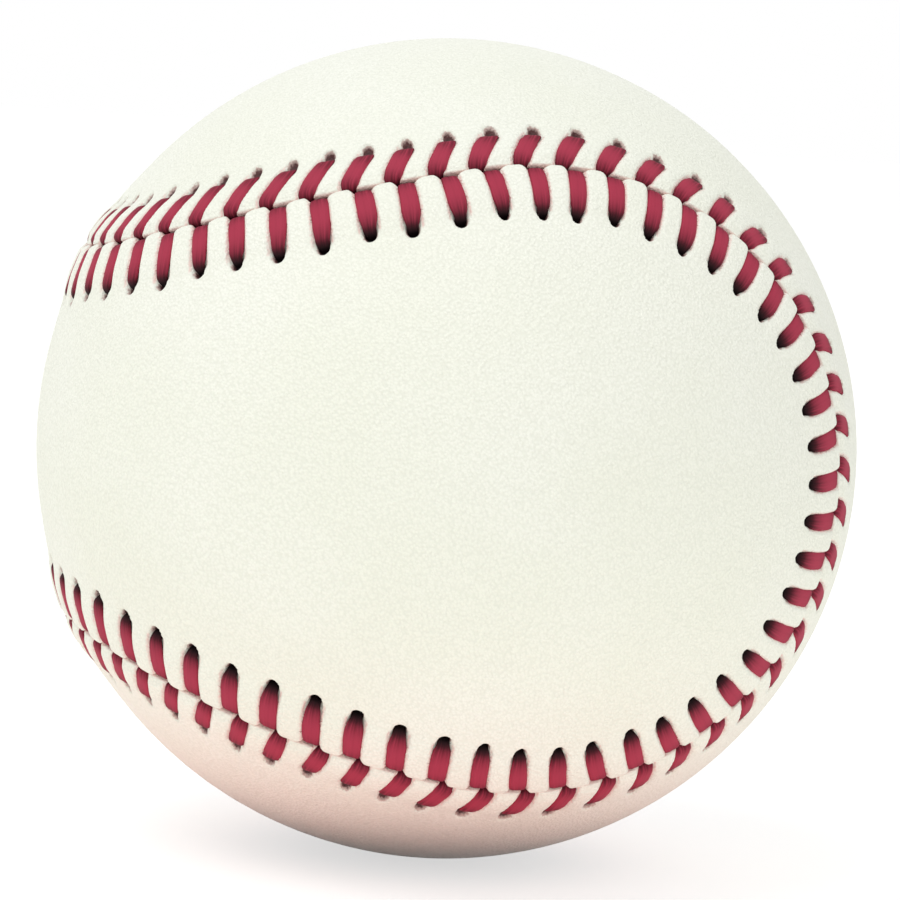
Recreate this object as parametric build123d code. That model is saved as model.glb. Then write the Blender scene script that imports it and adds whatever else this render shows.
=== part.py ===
from build123d import *
import os
from collections import namedtuple
from math import atan2, cos, pi, radians, sin, sqrt

# A laced leather ball, built from the middle outwards, with its centre at the origin.
# The front panel has its waist on -X and its lobes on -Y and +Y.
# The top panel has its waist on +X and its lobes on -Z and +Z.

# Driving dimensions, in millimetres and degrees
cork_diameter = 20.6
rubber_shell_wall = 4.0
gasket_thickness = 0.8
rubber_jacket_wall = 2.4
inner_wool_wall = 14.55
middle_wool_wall = 1.75
outer_wool_wall = 2.25
yarn_wall = 0.5
cover_thickness = 1.27
layer_clearance = 0.02

# The seam's line, measured along the cover
waist_half_width = 17.06
lobe_end_radius = 28.9
lobe_end_half_sweep = 58.9
stitches_per_side = 108

# The cover beside the seam, measured across it
seam_gap = 0.6
edge_roll_width = 1.1
edge_roll_start = 0.05
edge_roll_depth = 0.85
welt_half_width = 8.0
welt_height = 0.45
tunnel_half_width = 10.0
tunnel_height = 0.78
hole_diameter = 1.25

# Where the stitches fall: how far each panel's holes are from the seam, where its first
# hole is along the seam and where the stitch from that hole drops into the gap
front_hole_offset = 5.05
front_first_hole = 2.65
front_first_drop = 3.1
top_hole_offset = 4.1
top_first_hole = 2.75
top_first_drop = 4.1
# How much further apart each panel's holes are round its own lobes
hole_spread = 0.6

# The lacing thread, which lies flat on the cover and is pressed thin where it is hidden
stitch_width = 1.5
stitch_thickness = 0.5
thread_width_in_hole = 0.9
thread_width_in_gap = 0.85
thread_thickness_in_gap = 0.4
hidden_thread_thickness = 0.3
thread_clearance = 0.06
# The hidden runs are straight, so they start a little above the ball that curves up below them
hidden_run_lift = 0.15

# Radii of the layers, each outside the one before
cork_radius = cork_diameter / 2
shell_inside = cork_radius + layer_clearance
shell_outside = shell_inside + rubber_shell_wall
jacket_inside = shell_outside + layer_clearance
jacket_outside = jacket_inside + rubber_jacket_wall
inner_wool_inside = jacket_outside + layer_clearance
inner_wool_outside = inner_wool_inside + inner_wool_wall
middle_wool_inside = inner_wool_outside + layer_clearance
middle_wool_outside = middle_wool_inside + middle_wool_wall
outer_wool_inside = middle_wool_outside + layer_clearance
outer_wool_outside = outer_wool_inside + outer_wool_wall
yarn_inside = outer_wool_outside + layer_clearance
yarn_outside = yarn_inside + yarn_wall
cover_inside = yarn_outside + layer_clearance
cover_outside = cover_inside + cover_thickness

# How far a seam profile runs on past a spherical surface, so that the two cross cleanly
overrun = 0.3

centre = Vector(0, 0, 0)
x_way = Vector(1, 0, 0)
y_way = Vector(0, 1, 0)
z_way = Vector(0, 0, 1)

SeamArc = namedtuple("SeamArc", "axis begin sweep length")


def along_sphere(start, towards, angle):
    # The unit vector at an angle from one unit vector towards another that is square to it.
    return start * cos(angle) + towards * sin(angle)


def seam_arc(pole, begin, end):
    # The arc of a small circle round the pole, run from begin to end the short way.
    spoke_begin = begin - pole * pole.dot(begin)
    spoke_end = end - pole * pole.dot(end)
    sweep = spoke_begin.get_angle(spoke_end)
    forward = pole.cross(begin).dot(end) > 0
    axis = pole if forward else pole * -1
    return SeamArc(axis, begin, sweep, cover_outside * spoke_begin.length * radians(sweep))


def seam_hump(waist, side, begin, end):
    # One quarter of the seam: a round lobe end, with an arc from each of its ends to a crossing point.
    tip = along_sphere(waist, side, waist_half_width / cover_outside)
    lobe_pole = along_sphere(waist, side, (waist_half_width + lobe_end_radius) / cover_outside)
    lobe_axis = Axis(centre, lobe_pole)
    joints = [tip.rotate(lobe_axis, lobe_end_half_sweep), tip.rotate(lobe_axis, -lobe_end_half_sweep)]
    joints.sort(key=lambda joint: -joint.dot(begin))

    def side_pole(joint, crossing):
        # The pole of the circle that leaves the lobe end smoothly and passes through the crossing point.
        inwards = (lobe_pole - joint * lobe_pole.dot(joint)).normalized()
        return along_sphere(joint, inwards, atan2(1 - joint.dot(crossing), inwards.dot(crossing)))

    return [
        seam_arc(side_pole(joints[0], begin), begin, joints[0]),
        seam_arc(lobe_pole, joints[0], joints[1]),
        seam_arc(side_pole(joints[1], end), joints[1], end),
    ]


def seam_line():
    # The whole seam, with the front panel always on its left, seen from outside.
    back_low = (y_way - z_way).normalized()
    front_low = (y_way * -1 - z_way).normalized()
    front_high = (z_way - y_way).normalized()
    back_high = (y_way + z_way).normalized()
    return [
        *seam_hump(x_way * -1, z_way * -1, back_low, front_low),
        *seam_hump(x_way, y_way * -1, front_low, front_high),
        *seam_hump(x_way * -1, z_way, front_high, back_high),
        *seam_hump(x_way, y_way, back_high, back_low),
    ]


seam = seam_line()
seam_length = sum(arc.length for arc in seam)
stitch_pitch = seam_length / stitches_per_side


def seam_frame(distance):
    # The outward, forward and leftward directions at a distance along the seam.
    rest = distance % seam_length
    for arc in seam:
        if rest <= arc.length:
            break
        rest -= arc.length
    outward = arc.begin.rotate(Axis(centre, arc.axis), arc.sweep * rest / arc.length)
    forward = arc.axis.cross(outward).normalized()
    return outward, forward, outward.cross(forward)


def seam_point(distance, offset, radius):
    # A point beside the seam: its offset to the left is measured along the cover.
    outward, _, left = seam_frame(distance)
    return along_sphere(outward, left, offset / cover_outside) * radius


def profile_point(offset, radius):
    # The same in the plane across the seam, with the ball's centre at its origin.
    return (radius * sin(offset / cover_outside), radius * cos(offset / cover_outside))


def seam_ring(profile):
    # A profile across the seam, turned about each arc's own axis, all the way round the ball.
    segments = []
    for arc in seam:
        forward = arc.axis.cross(arc.begin).normalized()
        across = Plane(centre, x_dir=arc.begin.cross(forward), z_dir=forward)
        segments.append(revolve(across * profile, Axis(centre, arc.axis), arc.sweep))
    return segments


def arch_profile(half_width, foot_radius, crest_radius):
    # A low mound over the seam, closed by the chord between its feet.
    left = profile_point(half_width, foot_radius)
    right = profile_point(-half_width, foot_radius)
    crest = profile_point(0, crest_radius)
    return make_face(ThreePointArc(left, crest, right) + Line(right, left))


def arch_radius(half_width, foot_radius, crest_radius, offset):
    # Where a line from the ball's centre meets the mound: the mound's circle is centred below its crest.
    foot_x, foot_y = profile_point(half_width, foot_radius)
    middle = (crest_radius**2 - foot_x**2 - foot_y**2) / (2 * (crest_radius - foot_y))
    angle = offset / cover_outside
    return middle * cos(angle) + sqrt((crest_radius - middle) ** 2 - (middle * sin(angle)) ** 2)


def gap_profile():
    # The slit between the panels, whose edges roll over to a wider mouth in one arc each.
    half_gap = seam_gap / 2
    half_mouth = half_gap + edge_roll_width
    foot = cover_inside - overrun
    mouth = cover_outside + welt_height + overrun
    narrow = cover_outside + welt_height - edge_roll_depth
    right_edge = ThreePointArc((half_gap, foot), (half_gap + edge_roll_start, narrow), (half_mouth, mouth))
    left_edge = ThreePointArc((-half_mouth, mouth), (-half_gap - edge_roll_start, narrow), (-half_gap, foot))
    across_mouth = Line((half_mouth, mouth), (-half_mouth, mouth))
    across_foot = Line((-half_gap, foot), (half_gap, foot))
    return make_face(right_edge + across_mouth + left_edge + across_foot)


# The front panel is on side 1 of the seam, the top panel on side -1
Sewing = namedtuple("Sewing", "side hole_offset first_hole first_drop")
front_sewing = Sewing(1, front_hole_offset, front_first_hole, front_first_drop)
top_sewing = Sewing(-1, top_hole_offset, top_first_hole, top_first_drop)
front_lobe_tip = seam_length * 3 / 8


def hole_distance(sewing, count):
    # Even steps along the seam, spread by a sine that rises away from the panel's lobe tips.
    even = sewing.first_hole + count * stitch_pitch
    lobe_angle = 4 * pi * (even - front_lobe_tip) / seam_length
    return even + sewing.side * hole_spread * sin(lobe_angle)


def hole_tools(sewing):
    # The punched holes of one panel.
    tools = []
    offset = sewing.side * sewing.hole_offset
    depth = cover_thickness + welt_height + 2 * overrun
    for count in range(stitches_per_side):
        place = seam_point(hole_distance(sewing, count), offset, cover_inside - overrun)
        plane = Plane(place, z_dir=place.normalized())
        punch = Cylinder(hole_diameter / 2, depth, align=(Align.CENTER, Align.CENTER, Align.MIN))
        tools.append(plane * punch)
    return tools


def cover_panels():
    # Both panels are one shell, raised over the seam, relieved below it and slit along it.
    welt = arch_profile(welt_half_width, cover_outside - overrun, cover_outside + welt_height)
    tunnel = arch_profile(tunnel_half_width, cover_inside - overrun, cover_inside + tunnel_height)
    outside = Sphere(cover_outside) + seam_ring(welt)
    inside = Sphere(cover_inside) + seam_ring(tunnel)
    pieces = (outside - inside - seam_ring(gap_profile())).solids()
    pieces.sort(key=lambda piece: piece.center().X)
    front, top = pieces
    return front - hole_tools(front_sewing), top - hole_tools(top_sewing)


def layer(inside_radius, outside_radius):
    return Sphere(outside_radius) - Sphere(inside_radius)


def rubber_shell(side):
    # One half of the black shell round the cork, cut back for the gasket.
    reach = 2 * shell_outside
    start = gasket_thickness / 2 + layer_clearance
    half_space = Pos(0, 0, side * (start + reach / 2)) * Box(reach, reach, reach)
    return layer(shell_inside, shell_outside) & half_space


def gasket():
    # The flat ring between the two shell halves, its rim turned to the shell's own outside.
    slab = Cylinder(shell_outside, gasket_thickness)
    return slab & layer(shell_inside, shell_outside)


ThreadStation = namedtuple("ThreadStation", "place width_way width thickness")


def stitch_stations(sewing, count):
    # One stitch: up through its hole, over the cover's edge and down the gap, ready to pass below.
    reach = sewing.hole_offset
    hole = hole_distance(sewing, count)
    drop = sewing.first_drop + count * stitch_pitch
    middle = (hole + drop) / 2
    hidden = yarn_outside + thread_clearance + hidden_run_lift + hidden_thread_thickness / 2

    def resting(offset):
        surface = arch_radius(welt_half_width, cover_outside - overrun, cover_outside + welt_height, offset)
        return surface + thread_clearance + stitch_thickness / 2

    def station(distance, offset, radius, width, thickness):
        _, forward, _ = seam_frame(distance)
        return ThreadStation(seam_point(distance, sewing.side * offset, radius), forward, width, thickness)

    return [
        station(hole, reach, hidden, thread_width_in_hole, hidden_thread_thickness),
        station(hole, reach, resting(reach), thread_width_in_hole, stitch_thickness),
        station(middle, reach / 2, resting(reach / 2), stitch_width, stitch_thickness),
        station(drop, 0, resting(0), thread_width_in_gap, thread_thickness_in_gap),
        station(drop, 0, hidden, thread_width_in_gap, hidden_thread_thickness),
    ]


def thread_section(before, here, after):
    # Six corners of the thread, mitred where it bends and wide along the seam.
    arriving = (here.place - before).normalized()
    leaving = (after - here.place).normalized()
    ahead = (arriving + leaving).normalized()
    mitre = 1 / ahead.dot(arriving)
    wide = (here.width_way - ahead * here.width_way.dot(ahead)).normalized()
    thick = ahead.cross(wide) * (mitre * here.thickness / 2)
    wide = wide * (here.width / 2)
    corners = [wide, wide / 2 + thick, thick - wide / 2, wide * -1, wide / -2 - thick, wide / 2 - thick]
    return [here.place + corner for corner in corners]


def flat_face(*corners):
    return Face(Wire.make_polygon(corners, close=True))


def thread_solid(sections):
    # Flat facets from each section to the next, closed by the cut ends.
    faces = [flat_face(*sections[0]), flat_face(*sections[-1])]
    for near, far in zip(sections, sections[1:]):
        for i, corner in enumerate(near):
            faces.append(flat_face(near[i - 1], corner, far[i]))
            faces.append(flat_face(near[i - 1], far[i], far[i - 1]))
    return Solid(Shell(faces))


def lacing_strand(*turns):
    # One needle's thread: it takes the holes of both panels by turns, once round the seam.
    stations = []
    for count in range(stitches_per_side):
        stations += stitch_stations(turns[count % 2], count)
    places = [station.place for station in stations]
    places = [places[0] * 2 - places[1], *places, places[-1] * 2 - places[-2]]
    sections = [thread_section(places[i], here, places[i + 2]) for i, here in enumerate(stations)]
    length = sum((b - a).length for a, b in zip(places[1:-2], places[2:-1]))
    return thread_solid(sections), length


def build():
    front_panel, top_panel = cover_panels()
    first_strand, first_length = lacing_strand(front_sewing, top_sewing)
    second_strand, second_length = lacing_strand(top_sewing, front_sewing)
    print("seam", round(seam_length, 1), "pitch", round(stitch_pitch, 3))
    print("cover radius", round(cover_outside, 3), "thread", round(first_length + second_length))
    return {
        "cork_core": Sphere(cork_radius),
        "black_rubber_shell_upper": rubber_shell(1),
        "black_rubber_shell_lower": rubber_shell(-1),
        "red_rubber_gasket": gasket(),
        "red_rubber_jacket": layer(jacket_inside, jacket_outside),
        "grey_wool_winding_inner": layer(inner_wool_inside, inner_wool_outside),
        "white_wool_winding": layer(middle_wool_inside, middle_wool_outside),
        "grey_wool_winding_outer": layer(outer_wool_inside, outer_wool_outside),
        "finishing_yarn_winding": layer(yarn_inside, yarn_outside),
        "front_cover_panel": front_panel,
        "top_cover_panel": top_panel,
        "first_lacing_strand": first_strand,
        "second_lacing_strand": second_strand,
    }


os.makedirs("parts", exist_ok=True)
for node, piece in build().items():
    export_step(piece, f"parts/{node}.step")
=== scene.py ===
import bmesh
import bpy
import numpy as np
from mathutils import Matrix, Vector


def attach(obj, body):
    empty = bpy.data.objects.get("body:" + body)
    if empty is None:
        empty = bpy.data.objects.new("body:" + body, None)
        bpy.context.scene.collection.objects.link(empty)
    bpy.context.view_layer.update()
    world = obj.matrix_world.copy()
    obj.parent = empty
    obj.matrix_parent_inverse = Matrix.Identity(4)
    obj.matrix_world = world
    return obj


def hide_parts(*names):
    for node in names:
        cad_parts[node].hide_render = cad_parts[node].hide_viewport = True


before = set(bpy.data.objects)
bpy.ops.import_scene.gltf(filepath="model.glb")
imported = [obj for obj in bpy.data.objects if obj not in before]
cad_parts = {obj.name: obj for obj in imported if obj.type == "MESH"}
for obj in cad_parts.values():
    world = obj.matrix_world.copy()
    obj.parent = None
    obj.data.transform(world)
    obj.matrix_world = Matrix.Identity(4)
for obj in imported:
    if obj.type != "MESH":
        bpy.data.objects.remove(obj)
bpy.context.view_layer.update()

mm = 0.001
draws = np.random.default_rng(108)

# the seam's line on the cover, in millimetres and degrees, as the solids have it
seam = {
    "radius": 37.16,
    "waistHalfWidth": 17.06,
    "lobeEndRadius": 28.9,
    "lobeEndHalfSweep": 58.9,
    "stitches": 108,
}
ballRadius = seam["radius"]


def unit(v):
    # a vector divided by its own length
    return v / np.linalg.norm(v, axis=-1, keepdims=True)


def turned(v, axis, angle):
    # a vector turned about a unit axis: its part along the axis stays, the rest swings round
    c = np.cos(angle)[..., None]
    s = np.sin(angle)[..., None]
    along = np.sum(v * axis, axis=-1, keepdims=True) * axis
    return along + (v - along) * c + np.cross(axis, v) * s


def seamHump(waist, side, begin, end):
    # a quarter of the seam: one arc round the lobe's end and one on each side of it, all about the centre
    waist, side, begin, end = (np.array(v, float) for v in (waist, side, begin, end))
    begin, end = unit(begin), unit(end)
    tipAngle = seam["waistHalfWidth"] / ballRadius
    poleAngle = tipAngle + seam["lobeEndRadius"] / ballRadius
    tip = waist * np.cos(tipAngle) + side * np.sin(tipAngle)
    lobePole = waist * np.cos(poleAngle) + side * np.sin(poleAngle)
    half = np.radians(seam["lobeEndHalfSweep"])
    ends = [turned(tip, lobePole, np.array(a)) for a in (half, -half)]
    ends.sort(key=lambda e: -e @ begin)

    def sidePole(joint, crossing):
        # on the great circle of joint and lobe pole, the point that is as far from the crossing as from the joint
        inward = unit(lobePole - joint * (lobePole @ joint))
        a = np.arctan2(1 - joint @ crossing, inward @ crossing)
        return joint * np.cos(a) + inward * np.sin(a)

    arcs = []
    for pole, a, b in (
        (sidePole(ends[0], begin), begin, ends[0]),
        (lobePole, ends[0], ends[1]),
        (sidePole(ends[1], end), ends[1], end),
    ):
        spokeA, spokeB = a - pole * (pole @ a), b - pole * (pole @ b)
        sweep = np.arccos(np.clip(unit(spokeA) @ unit(spokeB), -1, 1))
        axis = pole if np.cross(pole, a) @ b > 0 else -pole
        arcs.append((axis, a, sweep, ballRadius * np.linalg.norm(spokeA) * sweep))
    return arcs


seamArcs = (
    seamHump((-1, 0, 0), (0, 0, -1), (0, 1, -1), (0, -1, -1))
    + seamHump((1, 0, 0), (0, -1, 0), (0, -1, -1), (0, -1, 1))
    + seamHump((-1, 0, 0), (0, 0, 1), (0, -1, 1), (0, 1, 1))
    + seamHump((1, 0, 0), (0, 1, 0), (0, 1, 1), (0, 1, -1))
)
arcAxis, arcBegin, arcSweep, arcLength = (np.array(column) for column in zip(*seamArcs))
arcStart = np.concatenate([[0], np.cumsum(arcLength)[:-1]])
seamLength = arcLength.sum()
pitch = seamLength / seam["stitches"]
print("seam", round(seamLength, 1), "mm, stitch pitch", round(pitch, 3))


def seamFrames(s):
    # outward, forward and leftward directions at distances along the seam: each arc turns its start about its axis
    s = np.mod(s, seamLength)
    k = np.searchsorted(arcStart, s, side="right") - 1
    outward = turned(arcBegin[k], arcAxis[k], arcSweep[k] * (s - arcStart[k]) / arcLength[k])
    forward = unit(np.cross(arcAxis[k], outward))
    return outward, forward, np.cross(outward, forward)


def besideSeam(s, offset, height):
    # a point offset to the left of the seam along the ball and raised above it: outward swung towards left
    outward, _, left = seamFrames(s)
    a = (offset / ballRadius)[..., None]
    return (outward * np.cos(a) + left * np.sin(a)) * (ballRadius + height)[..., None]


def shortWay(s):
    # a distance along the closed seam, taken as at most half its length either way
    return np.mod(s + seamLength / 2, seamLength) - seamLength / 2


# the hand of the sewing: where each panel's stitches drop into the seam and where their holes are, in millimetres
frontSewing = {
    "side": 1,
    "spread": (0.38, 0.28),  # the slow and the quick wave in the spacing of the holes
    "firstDrop": 3.1,
    "firstHole": 2.65,
    "holeOffset": 5.05,
    "curve": 1.25,  # the power that bends a stitch on its way to its hole
    "bow": 0.14,
    "dive": 0.44,  # how far from the seam's line the thread goes down
    "pitBeyond": 0.08,
    "pitTrail": 0.0,
    "pitDepth": 0.95,
    "pitAlong": 0.5,
    "pitAcross": 0.62,
    # how dark a pit is coloured: a real stain round the hole deepened by painted shade, near black with painted
    # shadow in its depth
    "pitShadeAndStain": 1.0,
}
topSewing = {
    "side": -1,
    "spread": (0.6, 0.0),
    "firstDrop": 4.1,
    "firstHole": 2.75,
    "holeOffset": 3.85,
    "curve": 1.25,
    "bow": 0.0,
    "dive": 0.02,
    "pitBeyond": 0.36,
    "pitTrail": 0.06,
    "pitDepth": 0.6,
    "pitAlong": 0.52,
    "pitAcross": 0.84,
    # less dark on this panel, whose holes are seen more from the side: painted shade
    "pitShadeAndStain": 0.74,
}
sewingWander = {"hole": 0.17, "drop": 0.12, "reach": 0.2, "width": 0.06}
frontTip = 40.5  # the middle of the lobe end that faces the camera, in stitches along the seam
topTip = 13.5  # the same on the other panel
lineEnd = 1.4  # where a stitch's middle line stops, past its hole, as a share of its reach


def spreadAt(sewing, s):
    # each panel's holes are further apart round its own lobes: sine waves along the seam, one twice as quick
    turn = 4 * np.pi * (s - frontTip * pitch) / seamLength
    slow, quick = sewing["spread"]
    return sewing["side"] * (slow * np.sin(turn) + quick * np.sin(2 * turn))


def sewn(sewing):
    # regular stations with a small random wander on each stitch
    n = seam["stitches"]
    station = np.arange(n) * pitch
    hole = sewing["firstHole"] + station
    out = dict(sewing)
    out["drop"] = sewing["firstDrop"] + station + draws.uniform(-1, 1, n) * sewingWander["drop"]
    out["hole"] = hole + spreadAt(sewing, hole) + draws.uniform(-1, 1, n) * sewingWander["hole"]
    out["reach"] = sewing["holeOffset"] + draws.uniform(-1, 1, n) * sewingWander["reach"]
    out["broad"] = 1 + draws.uniform(-1, 1, n) * sewingWander["width"]
    return out


frontSewn, topSewn = sewn(frontSewing), sewn(topSewing)


def smooth(x, low, high):
    # from nothing at low to one at high: three times the square of the share, less twice its cube
    t = np.clip((x - low) / (high - low), 0, 1)
    return t * t * (3 - 2 * t)


def stitchLine(sewnSide, k, u):
    # a stitch's middle line: from its drop into the gap back to its hole, as a power of the distance and half a sine
    v = np.clip(u / sewnSide["reach"][k], 0, lineEnd)
    bow = sewnSide["bow"] * np.sin(np.pi * np.minimum(v, 1))
    return sewnSide["drop"][k] + (sewnSide["hole"][k] - sewnSide["drop"][k]) * v ** sewnSide["curve"] - bow


def nearestStitch(sewnSide, s, u):
    # which stitch a point belongs to, and how far along the seam it lies from that stitch's middle line
    v = np.clip(u / sewnSide["holeOffset"], 0, lineEnd) ** sewnSide["curve"]
    lead = sewnSide["firstHole"] + spreadAt(sewnSide, s) - sewnSide["firstDrop"]
    k = np.round((s - sewnSide["firstDrop"] - lead * v) / pitch).astype(int) % seam["stitches"]
    return k, shortWay(s - stitchLine(sewnSide, k, u))


# the leather beside the seam, in millimetres
leather = {
    "thickness": 1.27,
    "weltHeight": 0.44,
    "weltReach": 9.0,
    "edgeRoll": 0.3,
    "edgeReach": 0.9,  # how far in the tongues and nicks of the edge are felt
    "edgeTint": 0.14,
    "grooveDepth": 0.42,
    "grooveWidth": 0.8,
    "grooveEnd": (-0.4, 0.3),  # where it runs out, measured past the hole
    "slantEnd": 1.2,
    "puff": 0.26,
    "puffRise": 0.9,
    "puffFade": 0.55,  # the share of a stitch at which the puff begins to sink
    "dimple": 0.1,
    "dimpleReach": 1.3,
    "dimpleWidth": 1.25,
    "tunnel": 0.5,
    "tunnelReach": 10.0,
    "blushAt": 0.8,
    "blushWidth": 0.14,
}
# how far each panel's edge stays from the seam's line, in millimetres
edgeForm = {
    "tongueTip": 0.06,
    "notchDepth": 0.56,
    "notchBegin": (-1.75, -0.5),
    "notchEnd": (0.55, 1.25),
    "topEdge": -0.17,
    "nickDepth": 0.22,
    "nickHalfWidth": 0.8,
}


def halfWave(u, reach):
    # half a cosine wave: one at the seam, nothing from its reach onwards
    return 0.5 + 0.5 * np.cos(np.pi * np.clip(u / reach, 0, 1))


def welt(u):
    # half a wave from the seam's crest to the plain ball
    return leather["weltHeight"] * halfWave(u, leather["weltReach"])


def liningHeight(u):
    # one thickness below the ball, raised by half a wave to the tunnel along the seam
    return leather["tunnel"] * halfWave(u, leather["tunnelReach"]) - leather["thickness"]


def frontEdge(across):
    # a rounded tongue between stitches: steep past each stitch, then drawing back slowly towards the next
    notch = edgeForm["notchDepth"] * smooth(across, *edgeForm["notchBegin"])
    return edgeForm["tongueTip"] + notch * (1 - smooth(across, *edgeForm["notchEnd"]))


def topEdge(across):
    # nearly straight, with a shallow nick at each stitch: a fourth-power bell
    return edgeForm["topEdge"] + edgeForm["nickDepth"] * np.exp(-((across / edgeForm["nickHalfWidth"]) ** 4))


def coverHeight(sewnSide, s, u):
    # welt, plus a flat-bottomed groove under each stitch, a puff between stitches and a pit at each hole
    k, across = nearestStitch(sewnSide, s, u)
    reach, curve = sewnSide["reach"][k], sewnSide["curve"]
    fromHole = shortWay(s - sewnSide["hole"][k])
    # the slope of the stitch's middle line: a slanting stitch takes a wider groove, cut off square to itself
    endSlant = (sewnSide["hole"][k] - sewnSide["drop"][k]) * curve / reach
    slant = endSlant * np.clip(u / reach, 0, leather["slantEnd"]) ** (curve - 1)
    past = (u - reach + endSlant * fromHole) / np.sqrt(1 + endSlant**2)
    lane = np.exp(-((across / (leather["grooveWidth"] * np.sqrt(1 + slant**2))) ** 4))
    underStitch = 1 - smooth(past, *leather["grooveEnd"])
    rise = leather["puffRise"]
    between = smooth(u, 0.0, rise) * (1 - smooth(u, leather["puffFade"] * reach, reach + rise))
    height = welt(u) - leather["grooveDepth"] * lane * underStitch + leather["puff"] * (1 - lane) * between
    # the pit is a flat-bottomed oval, and the dimple a soft bell round it
    pitU = (u - reach - sewnSide["pitBeyond"]) / sewnSide["pitAcross"]
    pitS = (fromHole + sewnSide["pitTrail"]) / sewnSide["pitAlong"]
    pit = np.exp(-((pitU**2 + pitS**2) ** 3))
    height -= sewnSide["pitDepth"] * pit
    ring = np.exp(-(((u - reach) / leather["dimpleReach"]) ** 2)) * np.exp(-((across / leather["dimpleWidth"]) ** 2))
    height -= leather["dimple"] * ring * (1 - pit)
    # the thread's fuzz, and painted reddish bounce light from the thread over the crease's shade, tint a narrow band
    # of leather along both its edges
    fromEdge = np.abs(across) / np.sqrt(1 + slant**2) - leather["blushAt"]
    blush = np.exp(-((fromEdge / leather["blushWidth"]) ** 2)) * underStitch
    # the pit's colour mask carries the stain and the painted shade of the hole
    return height, pit * sewnSide["pitShadeAndStain"], blush


def slerp(a, b, f):
    # the great circle from one direction to another: each weighted by the sine of its share of the angle
    angle = np.arccos(np.clip(np.sum(a * b, axis=-1, keepdims=True), -1, 1))
    safe = np.maximum(np.sin(angle), 1e-9)
    out = (np.sin((1 - f) * angle) * a + np.sin(f * angle) * b) / safe
    return unit(np.where(angle < 1e-7, a, out))


def gridFaces(rows, columns, first):
    # quads between the rows of a grid that closes on itself along the seam
    r, c = np.meshgrid(np.arange(rows - 1), np.arange(columns), indexing="ij")
    n = (c + 1) % columns
    quads = np.stack([r * columns + c, r * columns + n, (r + 1) * columns + n, (r + 1) * columns + c], axis=-1)
    return (first + quads).reshape(-1, 4)


def stepFaces(fineFirst, coarseFirst, coarseColumns, ratio):
    # faces between a fine row and a coarse row, each with one coarse edge and several fine ones
    c = np.arange(coarseColumns)
    fine = [fineFirst + (c * ratio + i) % (coarseColumns * ratio) for i in range(ratio + 1)]
    return np.stack(fine + [coarseFirst + (c + 1) % coarseColumns, coarseFirst + c], axis=-1)


def addPoints(mesh, name, values):
    # one number for each point, for the materials to read
    layer = mesh.attributes.new(name, "FLOAT", "POINT")
    layer.data.foreach_set("value", np.asarray(values, np.float32))


def finishPiece(name, points, faces, attributes, material, mergeGap=0.0):
    # a mesh from points in millimetres, with doubles merged where asked and its faces turned outwards
    mesh = bpy.data.meshes.new(name)
    mesh.from_pydata((points * mm).tolist(), [], [f for group in faces for f in group.tolist()])
    for key, values in attributes.items():
        addPoints(mesh, key, values)
    build = bmesh.new()
    build.from_mesh(mesh)
    if mergeGap:
        bmesh.ops.remove_doubles(build, verts=build.verts, dist=mergeGap * mm)
    bmesh.ops.recalc_face_normals(build, faces=build.faces)
    build.to_mesh(mesh)
    build.free()
    mesh.shade_smooth()
    mesh.materials.append(material)
    piece = bpy.data.objects.new(name, mesh)
    bpy.context.scene.collection.objects.link(piece)
    print(name, len(mesh.vertices), "points", len(mesh.polygons), "faces")
    return piece


# rows of the cover's mesh: distance in from the panel's edge, fine where the leather is worked
panelRows = {
    "edge": [0, 0.04, 0.1, 0.17, 0.26, 0.38, 0.54, 0.74, 0.98, 1.26, 1.6, 2.0],
    "towardsHole": 6,
    "aroundHole": np.linspace(-1.25, 1.15, 17).tolist(),
    "beyondHole": [1.5, 2.2, 3.2, 4.4],
    "lining": [2.5, 6.0, 10.0],
    "columnsPerStitch": 20,
    "ratio": 3,  # fine columns beside the seam to each coarse one further in
    "inwardSteps": 10,
    "liningSteps": 4,
    "mergeGap": 0.002,
}
# one panel's lobes are front and back with its waist on the left, the other's are above and below
frontPanel = {"tip": frontTip, "waistWay": (1, 0, 0), "lobeWay": (0, -1, 0), "edge": frontEdge}
topPanel = {"tip": topTip, "waistWay": (-1, 0, 0), "lobeWay": (0, 0, -1), "edge": topEdge}


def medialWay(panel, s):
    # the panel's middle line: it waits at a lobe's pole along the lobe's end and runs steadily between the two
    poleAngle = (seam["waistHalfWidth"] + seam["lobeEndRadius"]) / ballRadius
    fromTip = np.abs(shortWay(s - panel["tip"] * pitch))
    lobeHalf = arcLength[1] / 2
    f = np.clip((fromTip - lobeHalf) / (seamLength / 2 - 2 * lobeHalf), 0, 1)
    angle = (poleAngle + f * (2 * np.pi - 2 * poleAngle))[..., None]
    return np.array(panel["waistWay"]) * np.cos(angle) + np.array(panel["lobeWay"]) * np.sin(angle)


def shares(steps):
    # even steps up to one, shaped to weigh rows of points
    return np.arange(1, steps + 1)[:, None, None] / steps


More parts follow.
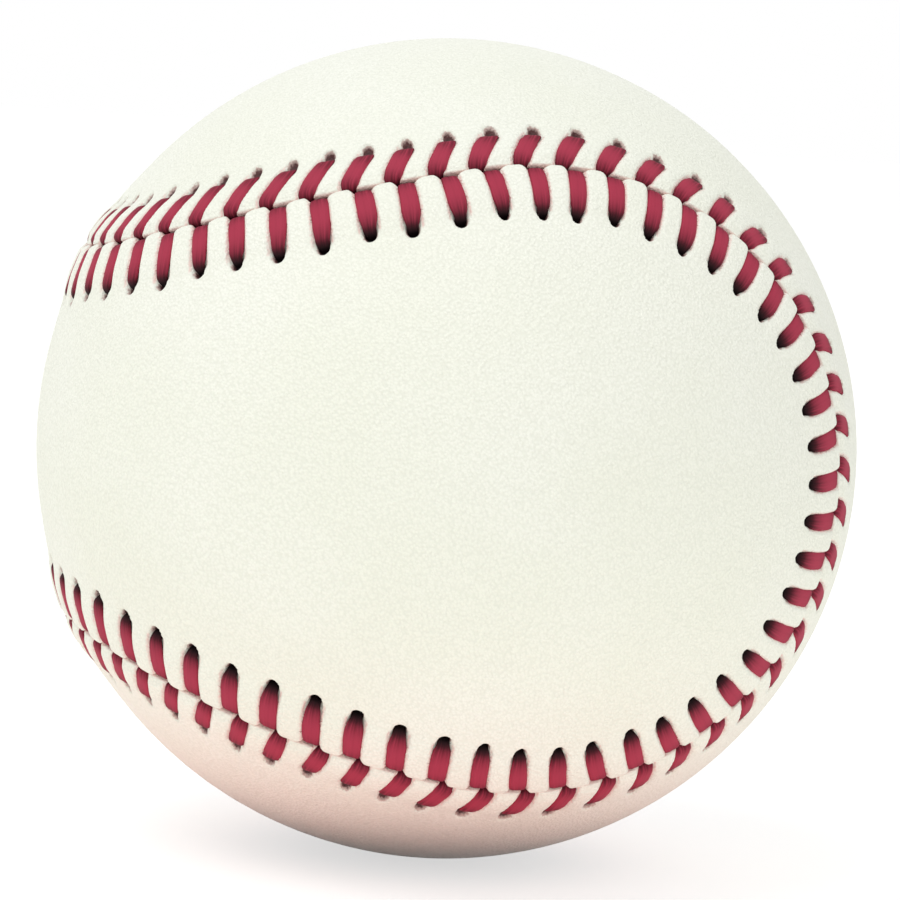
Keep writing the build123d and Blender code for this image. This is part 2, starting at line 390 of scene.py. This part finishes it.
def coverPanel(name, panel, sewnSide, material):
    # rows along the seam, each at its inset from the edge and raised by coverHeight, then great circles to the
    # middle line; the lining goes the same way, one thickness lower
    side, ratio = sewnSide["side"], panelRows["ratio"]
    fineCount = seam["stitches"] * panelRows["columnsPerStitch"]
    coarseCount = fineCount // ratio
    fineS = np.arange(fineCount) * seamLength / fineCount
    coarseS = np.arange(coarseCount) * seamLength / coarseCount
    _, across = nearestStitch(sewnSide, fineS, np.zeros(fineCount))
    edge = panel["edge"](across)
    pitAt = sewnSide["holeOffset"] + sewnSide["pitBeyond"]
    nearHole = pitAt + panelRows["aroundHole"][0]
    towardsHole = np.linspace(panelRows["edge"][-1], nearHole, panelRows["towardsHole"])[1:-1]
    aroundHole = pitAt + np.array(panelRows["aroundHole"] + panelRows["beyondHole"])
    inset = np.concatenate([panelRows["edge"], towardsHole, aroundHole])[:, None]
    s = np.broadcast_to(fineS, (inset.shape[0], fineCount))
    u = inset + edge * np.exp(-((inset / leather["edgeReach"]) ** 2))
    height, pit, blush = coverHeight(sewnSide, s, u)
    # the edge rolls over in a quarter circle
    roll = leather["edgeRoll"]
    height = height - roll + np.sqrt(np.maximum(roll**2 - (roll - np.minimum(inset, roll)) ** 2, 0))
    border = besideSeam(s, side * u, height)
    edgeTint = np.exp(-((inset / leather["edgeTint"]) ** 2)) * np.ones_like(u)
    # inwards from the border to the panel's middle line
    start = unit(besideSeam(coarseS, np.full(coarseCount, side * inset[-1, 0]), np.zeros(coarseCount)))
    middle = medialWay(panel, coarseS)
    inward = slerp(start[None], middle[None], shares(panelRows["inwardSteps"])) * ballRadius
    # the cut edge and the lining side
    wall = besideSeam(fineS, side * edge, liningHeight(edge))[None]
    liningU = np.array(panelRows["lining"])[:, None] * np.ones(coarseCount)
    lining = besideSeam(np.broadcast_to(coarseS, liningU.shape), side * liningU, liningHeight(liningU))
    liningIn = slerp(unit(lining[-1])[None], middle[None], shares(panelRows["liningSteps"]))
    liningIn = liningIn * (ballRadius - leather["thickness"])
    parts = [border, inward, wall, lining, liningIn]
    points = np.concatenate([p.reshape(-1, 3) for p in parts])
    first = np.cumsum([0] + [p.shape[0] * p.shape[1] for p in parts])
    around = np.arange(fineCount)
    onward = (around + 1) % fineCount
    faces = [
        gridFaces(len(border), fineCount, 0),
        stepFaces(first[1] - fineCount, first[1], coarseCount, ratio),
        gridFaces(len(inward), coarseCount, first[1]),
        np.stack([around, onward, first[2] + onward, first[2] + around], axis=-1),
        stepFaces(first[2], first[3], coarseCount, ratio),
        gridFaces(len(lining) + len(liningIn), coarseCount, first[3]),
    ]
    plain = np.zeros(len(points) - first[1])
    hidden = plain.copy()
    hidden[first[2] - first[1]:] = 1
    attributes = {
        "pit": np.concatenate([pit.ravel(), plain]),
        "edge": np.concatenate([edgeTint.ravel(), hidden]),
        "blush": np.concatenate([blush.ravel(), plain]),
    }
    return finishPiece(name, points, faces, attributes, material, panelRows["mergeGap"])


# the thread at each station of a stitch, from its hole to the seam and on to its hidden run, in millimetres
strandForm = {
    "sides": 12,
    "between": 3,  # rings to each station
    "frontWidth": [0.76, 0.88, 1.0, 1.16, 1.38, 1.58, 1.64, 1.62, 1.54, 1.46, 1.34, 1.15, 0.95, 0.85],
    "topWidth": [1.0, 1.2, 1.36, 1.48, 1.56, 1.62, 1.64, 1.62, 1.54, 1.46, 1.36, 1.15, 0.95, 0.85],
    "thickness": [0.3, 0.38, 0.44, 0.48, 0.5, 0.5, 0.5, 0.5, 0.5, 0.48, 0.42, 0.36, 0.3, 0.3],
    # a station's distance from the seam is a share of the stitch's reach, and a shift
    "share": [1, 1, 1, 1, 1, 0.66, 0.48, 0.3, 0, 0, 0, 0, 0],
    "shift": [0, -0.02, -0.12, -0.4, -0.85, 0, 0, 0, 0.55, 0.26, 0.1, 0.02, -0.1],
    "lift": [-1.5, -0.8, -0.12, 0.23, 0.32, 0.35, 0.35, 0.35, 0.32, 0.18, -0.14, -0.6, -1.05],
    "inHole": 3,  # stations that stay in line with the hole
    "frontShade": [1, 1, 1, 0.8, 0.2, 0.0, 0, 0, 0, 0.15, 0.55, 0.95, 1, 1],
    "topShade": [1, 1, 0.8, 0.1, 0, 0, 0, 0, 0, 0.15, 0.55, 0.95, 1, 1],
    # how much the streaks darken each station: the ply creases, and painted shade where the thread goes down into
    # the hole and the gap
    "root": [0.9, 0.9, 0.9, 0.9, 0.8, 0.3, 0, 0.15, 0.7, 1, 1, 1, 1, 0],
    "deepest": -1.1,
    "sideRound": 0.8,
    "crownRound": 0.75,
    "crease": 0.08,
    "creaseWidth": 0.3,
    "wobble": 0.06,
    "fibres": 1800,
    "fibreLength": (0.12, 0.42),
    "fibreWidth": 0.022,
    "fibreRoot": (0.8, 0.98),  # where a fibre starts, as a share of the half width
    "fibreRootRise": 0.4,
    "fibreLean": (-1.4, 1.4),
    "fibreRise": (-0.2, 0.6),
    "fibreDepth": 0.25,  # no fibres where the thread lies deeper or darker than this
    "fibreShade": 0.15,
}


def stitchStations(sewnSide, k):
    # distance along the seam, beside it and above the ball of each station, as arrays of stitch by station
    reach = sewnSide["reach"][k][:, None]
    share, shift, lift = (np.array(strandForm[key])[None] for key in ("share", "shift", "lift"))
    u = reach * share + shift + np.where(share == 0, sewnSide["dive"], 0)
    height = np.maximum(welt(u) - leather["grooveDepth"] + lift, strandForm["deepest"])
    inHole = np.arange(u.shape[1]) < strandForm["inHole"]
    s = np.where(inHole, sewnSide["hole"][k][:, None], stitchLine(sewnSide, k[:, None], u))
    return s, sewnSide["side"] * u, height


def eased(values, count):
    # extra rows between the rows of a table, on a cubic through each four neighbours
    before, after, beyond = values[:-1], values[1:], np.vstack([values[2:], values[-1:]])
    ahead = np.vstack([values[:1], values[:-2]])
    f = (np.arange(count) / count)[None, :, None]
    p0, p1, p2, p3 = (v[:, None] for v in (ahead, before, after, beyond))
    curve = p1 + 0.5 * f * (p2 - p0 + f * (2 * p0 - 5 * p1 + 4 * p2 - p3 + f * (3 * (p1 - p2) + p3 - p0)))
    return np.vstack([curve.reshape(-1, values.shape[1]), values[-1:]])


def looseFibres(path, wide, thick, ahead, halfWidth, halfThick, showing):
    # fine hairs off the thread's two edges: slim three-sided spikes, each from a random place on a showing stretch
    count = strandForm["fibres"]
    at = draws.choice(np.flatnonzero(showing), count)
    edge = draws.choice([-1.0, 1.0], count)[:, None]
    low = edge * draws.uniform(*strandForm["fibreRoot"], (count, 1))
    rootRise = thick[at] * strandForm["fibreRootRise"] * halfThick[at][:, None]
    base = path[at] + wide[at] * low * halfWidth[at][:, None] + rootRise
    lean = draws.uniform(*strandForm["fibreLean"], (count, 1))
    rise = draws.uniform(*strandForm["fibreRise"], (count, 1))
    way = unit(wide[at] * edge + ahead[at] * lean + thick[at] * rise)
    length = draws.uniform(*strandForm["fibreLength"], (count, 1))
    girth = strandForm["fibreWidth"]
    corners = [base + way * length, base + ahead[at] * girth, base - ahead[at] * girth, base - thick[at] * girth * 2]
    points = np.stack(corners, axis=1).reshape(-1, 3)
    spike = np.array([[0, 1, 2], [0, 2, 3], [0, 3, 1], [1, 3, 2]])
    faces = np.arange(count)[:, None, None] * len(corners) + spike
    return points, faces.reshape(-1, 3), at, low[:, 0]


def squared(wave, power):
    # a wave's size raised to a power with its sign kept: under one, a circle gets squarer
    return np.sign(wave) * np.abs(wave) ** power


def lacingStrand(name, firstSide, material):
    # one needle's thread: an oval section carried along hole, stitch, gap and hidden run, by turns on each panel
    n = seam["stitches"]
    k = np.arange(n)
    onFront = (np.where(k % 2 == 0, 1, -1) * firstSide > 0)[:, None]
    bothSides = zip(stitchStations(frontSewn, k), stitchStations(topSewn, k))
    s, offset, height = (np.where(onFront, a, b) for a, b in bothSides)
    # the hidden run's middle, half way to the next hole
    nextHole = np.roll(s[:, 0], -1) + np.where(k == n - 1, seamLength, 0)
    s = np.column_stack([s, (s[:, -1] + nextHole) / 2])
    offset = np.column_stack([offset, np.roll(offset[:, 0], -1) / 2])
    height = np.column_stack([height, np.full(n, strandForm["deepest"])])
    broad = np.where(onFront, frontSewn["broad"][:, None], topSewn["broad"][:, None])
    wobble = 1 + draws.uniform(-1, 1, s.shape) * strandForm["wobble"]
    halfWidth = np.where(onFront, strandForm["frontWidth"], strandForm["topWidth"]) / 2 * broad * wobble
    halfThick = np.array(strandForm["thickness"]) / 2 * np.ones((n, 1))
    shade = np.where(onFront, strandForm["frontShade"], strandForm["topShade"])
    root = np.array(strandForm["root"]) * np.ones((n, 1))
    columns = [s, offset, height, halfWidth, halfThick, shade, root]
    table = np.stack(columns, axis=-1).reshape(-1, len(columns))
    s, offset, height, halfWidth, halfThick, shade, root = eased(table, strandForm["between"]).T
    path = besideSeam(s, offset, height)
    _, forward, _ = seamFrames(s)
    ahead = unit(np.gradient(path, axis=0))
    wide = unit(forward - ahead * np.sum(forward * ahead, axis=-1, keepdims=True))
    thick = np.cross(ahead, wide)
    # the section: a squarish oval with a faint crease along its crown
    sides, rings = strandForm["sides"], len(path)
    angle = np.arange(sides) * 2 * np.pi / sides
    across = squared(np.cos(angle), strandForm["sideRound"])
    crease = 1 - strandForm["crease"] * np.exp(-((across / strandForm["creaseWidth"]) ** 2))
    crown = squared(np.sin(angle), strandForm["crownRound"]) * crease
    sideways = wide[:, None] * (across * halfWidth[:, None])[..., None]
    upwards = thick[:, None] * (crown * halfThick[:, None])[..., None]
    points = (path[:, None] + (sideways + upwards)).reshape(-1, 3)
    faces = [gridFaces(rings, sides, 0), np.arange(sides)[None], np.arange((rings - 1) * sides, rings * sides)[None]]
    run = np.concatenate([[0], np.cumsum(np.linalg.norm(np.diff(path, axis=0), axis=1))])
    shallow = height > welt(np.abs(offset)) - strandForm["fibreDepth"]
    showing = shallow & (shade < strandForm["fibreShade"])
    hairs, hairFaces, at, low = looseFibres(path, wide, thick, ahead, halfWidth, halfThick, showing)
    faces.append(hairFaces + len(points))
    points = np.concatenate([points, hairs])
    each = len(hairs) // len(at)  # points to a fibre
    attributes = {
        "shade": np.concatenate([np.repeat(shade, sides), np.repeat(shade[at], each)]),
        "root": np.concatenate([np.repeat(root, sides), np.zeros(len(hairs))]),
        "run": np.concatenate([np.repeat(run, sides), np.repeat(run[at], each)]),
        "across": np.concatenate([np.tile(across, rings), np.repeat(low, each)]),
    }
    print(name, "length", round(run[-1] * mm, 3), "m")
    return finishPiece(name, points, faces, attributes, material)


def newMaterial(name):
    material = bpy.data.materials.new(name)
    material.use_nodes = True
    tree = material.node_tree
    shader = next(n for n in tree.nodes if n.type == "BSDF_PRINCIPLED")
    return material, tree, shader


def node(tree, kind, **values):
    # a node with its settings, or its sockets where no setting has that name
    made = tree.nodes.new(kind)
    for key, value in values.items():
        if hasattr(made, key):
            setattr(made, key, value)
        else:
            made.inputs[key].default_value = value
    return made


def texture(tree, kind, scale, **values):
    # a pattern on the piece's own coordinates, its scale in cells to the metre
    made = node(tree, kind, **values)
    made.inputs["Scale"].default_value = scale
    place = node(tree, "ShaderNodeTexCoord")
    tree.links.new(place.outputs["Object"], made.inputs["Vector"])
    return made


def attribute(tree, name):
    return node(tree, "ShaderNodeAttribute", attribute_name=name).outputs["Fac"]


def mixed(tree, factor, a, b):
    # a colour between two, each a socket or a plain colour
    mix = node(tree, "ShaderNodeMix", data_type="RGBA")
    tree.links.new(factor, mix.inputs["Factor"])
    for socket, value in ((mix.inputs[6], a), (mix.inputs[7], b)):
        if isinstance(value, tuple):
            socket.default_value = (*value, 1)
        else:
            tree.links.new(value, socket)
    return mix.outputs[2]


def ranged(tree, value, low, high, toLow=0, toHigh=1):
    # a value carried in a straight line from one range to another, and held at its ends
    made = node(tree, "ShaderNodeMapRange")
    for key, v in zip(("From Min", "From Max", "To Min", "To Max"), (low, high, toLow, toHigh)):
        made.inputs[key].default_value = v
    tree.links.new(value, made.inputs["Value"])
    return made.outputs["Result"]


def summed(tree, a, b, weight):
    # the first value plus the second times its weight
    made = node(tree, "ShaderNodeMath", operation="MULTIPLY_ADD")
    tree.links.new(b, made.inputs[0])
    made.inputs[1].default_value = weight
    tree.links.new(a, made.inputs[2])
    return made.outputs["Value"]


def combined(tree, operation, a, b):
    # the product or the larger of two values
    made = node(tree, "ShaderNodeMath", operation=operation)
    tree.links.new(a, made.inputs[0])
    tree.links.new(b, made.inputs[1])
    return made.outputs["Value"]


def bumped(tree, shader, height, strength, distance):
    bump = node(tree, "ShaderNodeBump")
    bump.inputs["Strength"].default_value = strength
    bump.inputs["Distance"].default_value = distance
    tree.links.new(height, bump.inputs["Height"])
    tree.links.new(bump.outputs["Normal"], shader.inputs["Normal"])


def coverLeather():
    # tanned white leather: pebbles with low ground between them, broken up by a finer grain, and round the seam's
    # holes a real stain deepened by painted shade, near black with painted shadow in their depths
    look = {
        "ivory": (0.875, 0.885, 0.785),
        "cream": (0.9, 0.907, 0.825),
        # the low ground's colour: partly the grain's own tone, partly painted shade in its hollows
        "valleyGrainAndShade": (0.72, 0.735, 0.64),
        "rawEdge": (0.82, 0.6, 0.55),
        # painted reddish bounce light from the thread, with its fuzz, beside its edges
        "blush": (0.84, 0.52, 0.48),
        "holeWall": (0.54, 0.36, 0.33),
        # a real stain round the holes, darkened further as painted shade
        "stainAndShade": (0.1, 0.036, 0.036),
        # painted shadow: the holes' depths coloured near black
        "hole": (0.005, 0.003, 0.004),
        "mottleScale": 55,
        "fleckScale": 3600,
        "pebbleScale": 3700,
        "grainScale": 3000,
        "grainShare": 0.16,
        "blushFlecks": 0.25,
        "pitFlecks": 0.11,
        # where each colour comes in and how strongly
        "creamRange": (0.35, 0.65),
        "valleyGrainAndShadeRange": (0.3, 0.8, 0, 0.42),
        "rawEdgeRange": (0.25, 1.0, 0, 0.8),
        "blushRange": (0.3, 1.0, 0, 0.7),
        "holeWallRange": (0.12, 0.26, 0, 0.8),
        "stainAndShadeRange": (0.3, 0.56),
        "holeRange": (0.66, 0.86),
        "noiseRange": (0.3, 0.7),
        "reliefRange": (0.0, 0.8, 1, 0),
        "relief": (0.8, 0.00009),
        "roughness": (0.46, 0.6),
        "gloss": 0.3,
    }
    material, tree, shader = newMaterial("coverLeather")
    mottle = texture(tree, "ShaderNodeTexNoise", look["mottleScale"], Detail=3.0)
    fleck = texture(tree, "ShaderNodeTexNoise", look["fleckScale"], Detail=2.0)
    pebble = texture(tree, "ShaderNodeTexVoronoi", look["pebbleScale"])
    grain = texture(tree, "ShaderNodeTexNoise", look["grainScale"], Detail=3.0)
    grains = ranged(tree, grain.outputs["Fac"], *look["noiseRange"], -1, 1)
    flecks = ranged(tree, fleck.outputs["Fac"], *look["noiseRange"], -1, 1)
    # the low ground between pebbles is coloured darker: partly the grain's own tone, partly painted shade
    low = summed(tree, pebble.outputs["Distance"], grains, look["grainShare"])
    # the band beside the thread: its fuzz and painted reddish bounce light
    fuzzAndRedBounce = summed(tree, attribute(tree, "blush"), flecks, look["blushFlecks"])
    # the holes' mask with flecks: hole walls, then a real stain deepened by painted shade
    speckledPit = summed(tree, attribute(tree, "pit"), flecks, look["pitFlecks"])
    tone = mixed(tree, ranged(tree, mottle.outputs["Fac"], *look["creamRange"]), look["ivory"], look["cream"])
    for value, name in (
        (low, "valleyGrainAndShade"),
        (attribute(tree, "edge"), "rawEdge"),
        (fuzzAndRedBounce, "blush"),
        (speckledPit, "holeWall"),
        (speckledPit, "stainAndShade"),
        (attribute(tree, "pit"), "hole"),
    ):
        tone = mixed(tree, ranged(tree, value, *look[name + "Range"]), tone, look[name])
    tree.links.new(tone, shader.inputs["Base Color"])
    bumped(tree, shader, ranged(tree, low, *look["reliefRange"]), *look["relief"])
    roughness = ranged(tree, grain.outputs["Fac"], *look["noiseRange"], *look["roughness"])
    tree.links.new(roughness, shader.inputs["Roughness"])
    shader.inputs["Specular IOR Level"].default_value = look["gloss"]
    return material


def waxedThread():
    # streaks along the thread: noise drawn out lengthwise, in the thread's own two directions
    look = {
        "crimson": (0.385, 0.037, 0.073),
        "deep": (0.12, 0.01, 0.021),
        "shadow": (0.006, 0.002, 0.003),
        "lengthwise": (0, 100, 0, 70),
        "crosswise": (-1, 1, -3.6, 3.6),
        "streakRange": (0.5, 0.7, 0, 0.28),
        "rootShadeRange": (0.36, 0.56),
        "relief": (0.4, 0.0001),
        "roughness": 0.7,
        "gloss": 0.15,
    }
    material, tree, shader = newMaterial("waxedThread")
    place = node(tree, "ShaderNodeCombineXYZ")
    tree.links.new(ranged(tree, attribute(tree, "run"), *look["lengthwise"]), place.inputs["X"])
    tree.links.new(ranged(tree, attribute(tree, "across"), *look["crosswise"]), place.inputs["Y"])
    streak = node(tree, "ShaderNodeTexNoise", Detail=3.0, Scale=1.0)
    tree.links.new(place.outputs["Vector"], streak.inputs["Vector"])
    # dark streaks everywhere, and stronger ones where the thread goes down: its ply creases, deepened by painted
    # shade
    streaks = streak.outputs["Fac"]
    dark = ranged(tree, streaks, *look["streakRange"])
    shadedRoots = combined(tree, "MULTIPLY", ranged(tree, streaks, *look["rootShadeRange"]), attribute(tree, "root"))
    tone = mixed(tree, combined(tree, "MAXIMUM", dark, shadedRoots), look["crimson"], look["deep"])
    tone = mixed(tree, attribute(tree, "shade"), tone, look["shadow"])
    tree.links.new(tone, shader.inputs["Base Color"])
    bumped(tree, shader, streaks, *look["relief"])
    shader.inputs["Roughness"].default_value = look["roughness"]
    shader.inputs["Specular IOR Level"].default_value = look["gloss"]
    return material


def speckled(name, base, speck, scale, share, roughness, bump):
    # cork or rubber: a base colour with specks of another and a fine relief
    cloudScale, blur, reliefDepth = 0.6, 0.08, 0.0002
    material, tree, shader = newMaterial(name)
    cells = texture(tree, "ShaderNodeTexVoronoi", scale)
    cloud = texture(tree, "ShaderNodeTexNoise", scale * cloudScale, Detail=4.0)
    tone = mixed(tree, ranged(tree, cloud.outputs["Fac"], share - blur, share + blur), base, speck)
    tree.links.new(tone, shader.inputs["Base Color"])
    bumped(tree, shader, cells.outputs["Distance"], bump, reliefDepth)
    shader.inputs["Roughness"].default_value = roughness
    return material


def woundYarn(name, pale, dark, scale):
    # turns of yarn crossing one way and another, with a loose fibre between
    crossScale, fibreScale = 0.8, 5  # beside the first turns' scale
    crossShare, fibreShare, paleRange = 0.7, 0.4, (0.2, 1.4)
    relief, roughness = (0.6, 0.0004), 0.9
    material, tree, shader = newMaterial(name)
    first = texture(tree, "ShaderNodeTexWave", scale, Distortion=6.0, Detail=2.0, bands_direction="DIAGONAL")
    second = texture(tree, "ShaderNodeTexWave", scale * crossScale, Distortion=9.0, Detail=2.0, bands_direction="Z")
    fibre = texture(tree, "ShaderNodeTexNoise", scale * fibreScale, Detail=4.0)
    turns = summed(tree, first.outputs["Fac"], second.outputs["Fac"], crossShare)
    tone = mixed(tree, ranged(tree, turns, *paleRange), dark, pale)
    tree.links.new(tone, shader.inputs["Base Color"])
    bumped(tree, shader, summed(tree, turns, fibre.outputs["Fac"], fibreShare), *relief)
    shader.inputs["Roughness"].default_value = roughness
    return material


# the hidden layers' finishes, scales in cells to the metre
layerLooks = {
    "cork": {"base": (0.5, 0.3, 0.16), "speck": (0.2, 0.1, 0.05),
             "scale": 900, "share": 0.6, "roughness": 0.8, "bump": 0.5},
    "redRubber": {"base": (0.4, 0.05, 0.04), "speck": (0.33, 0.04, 0.035),
                  "scale": 2000, "share": 0.55, "roughness": 0.65, "bump": 0.15},
    "blackRubber": {"base": (0.022, 0.022, 0.024), "speck": (0.032, 0.03, 0.03),
                    "scale": 1800, "share": 0.55, "roughness": 0.7, "bump": 0.15},
    "greyWool": {"pale": (0.46, 0.45, 0.46), "dark": (0.2, 0.19, 0.2), "scale": 420},
    "whiteWool": {"pale": (0.85, 0.84, 0.79), "dark": (0.55, 0.53, 0.48), "scale": 420},
    "finishingYarn": {"pale": (0.8, 0.78, 0.71), "dark": (0.5, 0.46, 0.4), "scale": 900},
}


def dressLayers():
    greyWool = woundYarn("greyWool", **layerLooks["greyWool"])
    redRubber = speckled("redRubber", **layerLooks["redRubber"])
    blackRubber = speckled("blackRubber", **layerLooks["blackRubber"])
    layers = {
        "cork_core": speckled("corkComposition", **layerLooks["cork"]),
        "black_rubber_shell_upper": blackRubber,
        "black_rubber_shell_lower": blackRubber,
        "red_rubber_gasket": redRubber,
        "red_rubber_jacket": redRubber,
        "grey_wool_winding_inner": greyWool,
        "white_wool_winding": woundYarn("whiteWool", **layerLooks["whiteWool"]),
        "grey_wool_winding_outer": greyWool,
        "finishing_yarn_winding": woundYarn("finishingYarn", **layerLooks["finishingYarn"]),
    }
    for name, material in layers.items():
        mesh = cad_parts[name].data
        mesh.materials.clear()
        mesh.materials.append(material)
    print("layers dressed", len(layers))


def dressBall():
    hide = coverLeather()
    thread = waxedThread()
    pieces = {
        "front_cover_panel": (coverPanel("frontCover", frontPanel, frontSewn, hide), "cover_leather"),
        "top_cover_panel": (coverPanel("topCover", topPanel, topSewn, hide), "cover_leather"),
        "first_lacing_strand": (lacingStrand("firstLacing", 1, thread), "lacing_thread"),
        "second_lacing_strand": (lacingStrand("secondLacing", -1, thread), "lacing_thread"),
    }
    for name, (piece, slotName) in pieces.items():
        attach(piece, "root")
        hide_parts(name)


# the photograph's view: where the camera stands from the ball's centre, in radii, which way is up,
# and the ball's place in the picture, in pixels
viewpoint = {
    "towards": (-0.0551, -0.9942, 0.0919),
    "up": (-0.0618, 0.0952, 0.9935),
    "distance": 10.876,
    "imageWidth": 900,
    "ballPixels": 410.2,
    "ballAt": (446.5, 448.4),
    "sensorWidth": 36,
    "nearest": 0.01,
}


def placeCamera():
    camera = bpy.data.cameras.new("photoCamera")
    width = viewpoint["imageWidth"]
    away = viewpoint["distance"]
    # the ball's outline subtends the angle whose sine is one over the distance in radii
    focalPixels = viewpoint["ballPixels"] * np.sqrt(away**2 - 1)
    camera.sensor_width = viewpoint["sensorWidth"]
    camera.lens = float(focalPixels / width * camera.sensor_width)
    camera.shift_x = (width / 2 - viewpoint["ballAt"][0]) / width
    camera.shift_y = (viewpoint["ballAt"][1] - width / 2) / width
    camera.clip_start = viewpoint["nearest"]
    back = Vector(viewpoint["towards"]).normalized()
    right = Vector(viewpoint["up"]).cross(back).normalized()
    up = back.cross(right)
    turn = Matrix((right, up, back)).transposed().to_4x4()
    holder = bpy.data.objects.new("photoCamera", camera)
    holder.matrix_world = Matrix.Translation(back * (away * ballRadius * mm)) @ turn
    bpy.context.scene.collection.objects.link(holder)
    bpy.context.scene.camera = holder
    print("camera placed, lens", round(camera.lens, 1))


# in metres; the floor's ranges are distances from the ball's centre
studio = {
    "floorSize": 6.0,
    "floorFoot": (0.3, 0.18, 0.2),
    "floorNear": (0.98, 0.58, 0.56),
    "floorBounce": (0.93, 0.92, 0.89),
    "floorGlow": 0.27,
    "floorSeen": (0.5, 0.5, 0.5),
    "floorWhite": (0.62, 0.62, 0.62),
    "floorRoughness": 0.9,
    "floorGloss": 0.1,
    "nearRange": (0.04, 0.046),
    "bounceRange": (0.047, 0.058),
    "glowRise": (0.041, 0.048),
    "glowFade": (0.08, 0.16),
    "skyStrength": 0.75,
    "skyColour": (0.99, 1.0, 1.0),
    "lamps": [
        {"name": "keyLamp", "at": (-0.42, -0.32, 1.04), "size": 0.8, "power": 5.3, "colour": (1.0, 1.0, 0.99)},
        {"name": "fillLamp", "at": (0.9, -0.7, 0.1), "size": 0.9, "power": 1.25, "colour": (1.0, 1.0, 0.98)},
        {"name": "lowLamp", "at": (0.0, -0.5, -0.012), "size": 0.04, "power": 0.06, "colour": (1.0, 0.82, 0.8)},
    ],
}


def seenDirectly(tree):
    # one for the camera's own rays and for those that a reflection or glass sends on, else nothing
    path = node(tree, "ShaderNodeLightPath")
    total = path.outputs["Is Camera Ray"]
    for name in ("Is Glossy Ray", "Is Transmission Ray"):
        total = combined(tree, "MAXIMUM", total, path.outputs[name])
    return total


def lightSky():
    # a soft sky that lights the ball, and plain white where it is seen
    world = bpy.data.worlds.new("studioWorld")
    world.use_nodes = True
    bpy.context.scene.world = world
    tree = world.node_tree
    sky = next(n for n in tree.nodes if n.type == "BACKGROUND")
    sky.inputs["Color"].default_value = (*studio["skyColour"], 1)
    sky.inputs["Strength"].default_value = studio["skyStrength"]
    output = next(n for n in tree.nodes if n.type == "OUTPUT_WORLD")
    white = node(tree, "ShaderNodeBackground")
    white.inputs["Color"].default_value = (1, 1, 1, 1)
    either = node(tree, "ShaderNodeMixShader")
    tree.links.new(seenDirectly(tree), either.inputs[0])
    tree.links.new(sky.outputs["Background"], either.inputs[1])
    tree.links.new(white.outputs["Background"], either.inputs[2])
    tree.links.new(either.outputs["Shader"], output.inputs["Surface"])


def hangLamps():
    # square lamps, each aimed at the ball's centre
    for lamp in studio["lamps"]:
        light = bpy.data.lights.new(lamp["name"], "AREA")
        light.size = lamp["size"]
        light.energy = lamp["power"]
        light.color = lamp["colour"]
        holder = bpy.data.objects.new(lamp["name"], light)
        holder.location = lamp["at"]
        holder.rotation_euler = (-Vector(lamp["at"])).to_track_quat("-Z", "Y").to_euler()
        bpy.context.scene.collection.objects.link(holder)


def floorPaint():
    # what lights the ball from below: dark at its foot, rosy close by, then a pale glow that fades with distance
    material, tree, shader = newMaterial("studioFloor")
    seen = seenDirectly(tree)
    place = node(tree, "ShaderNodeTexCoord")
    length = node(tree, "ShaderNodeVectorMath", operation="LENGTH")
    tree.links.new(place.outputs["Object"], length.inputs[0])
    away = length.outputs["Value"]
    bounce = mixed(tree, ranged(tree, away, *studio["nearRange"]), studio["floorFoot"], studio["floorNear"])
    bounce = mixed(tree, ranged(tree, away, *studio["bounceRange"]), bounce, studio["floorBounce"])
    rise = ranged(tree, away, *studio["glowRise"], 0, studio["floorGlow"])
    glow = combined(tree, "MULTIPLY", rise, ranged(tree, away, *studio["glowFade"], 1, 0))
    tree.links.new(mixed(tree, seen, bounce, studio["floorSeen"]), shader.inputs["Base Color"])
    tree.links.new(mixed(tree, seen, bounce, studio["floorWhite"]), shader.inputs["Emission Color"])
    tree.links.new(combined(tree, "MAXIMUM", seen, glow), shader.inputs["Emission Strength"])
    shader.inputs["Roughness"].default_value = studio["floorRoughness"]
    shader.inputs["Specular IOR Level"].default_value = studio["floorGloss"]
    return material


def layFloor():
    # a pale floor that keeps the ball's shadow: one square under the ball
    half = studio["floorSize"] / 2
    low = -ballRadius * mm
    corners = [(-half, -half, low), (half, -half, low), (half, half, low), (-half, half, low)]
    mesh = bpy.data.meshes.new("studioFloor")
    mesh.from_pydata(corners, [], [(0, 1, 2, 3)])
    mesh.materials.append(floorPaint())
    floor = bpy.data.objects.new("studioFloor", mesh)
    bpy.context.scene.collection.objects.link(floor)


def lightStudio():
    bpy.context.scene.view_settings.view_transform = "Standard"
    lightSky()
    hangLamps()
    layFloor()
    print("studio lit")


dressLayers()
dressBall()
placeCamera()
lightStudio()
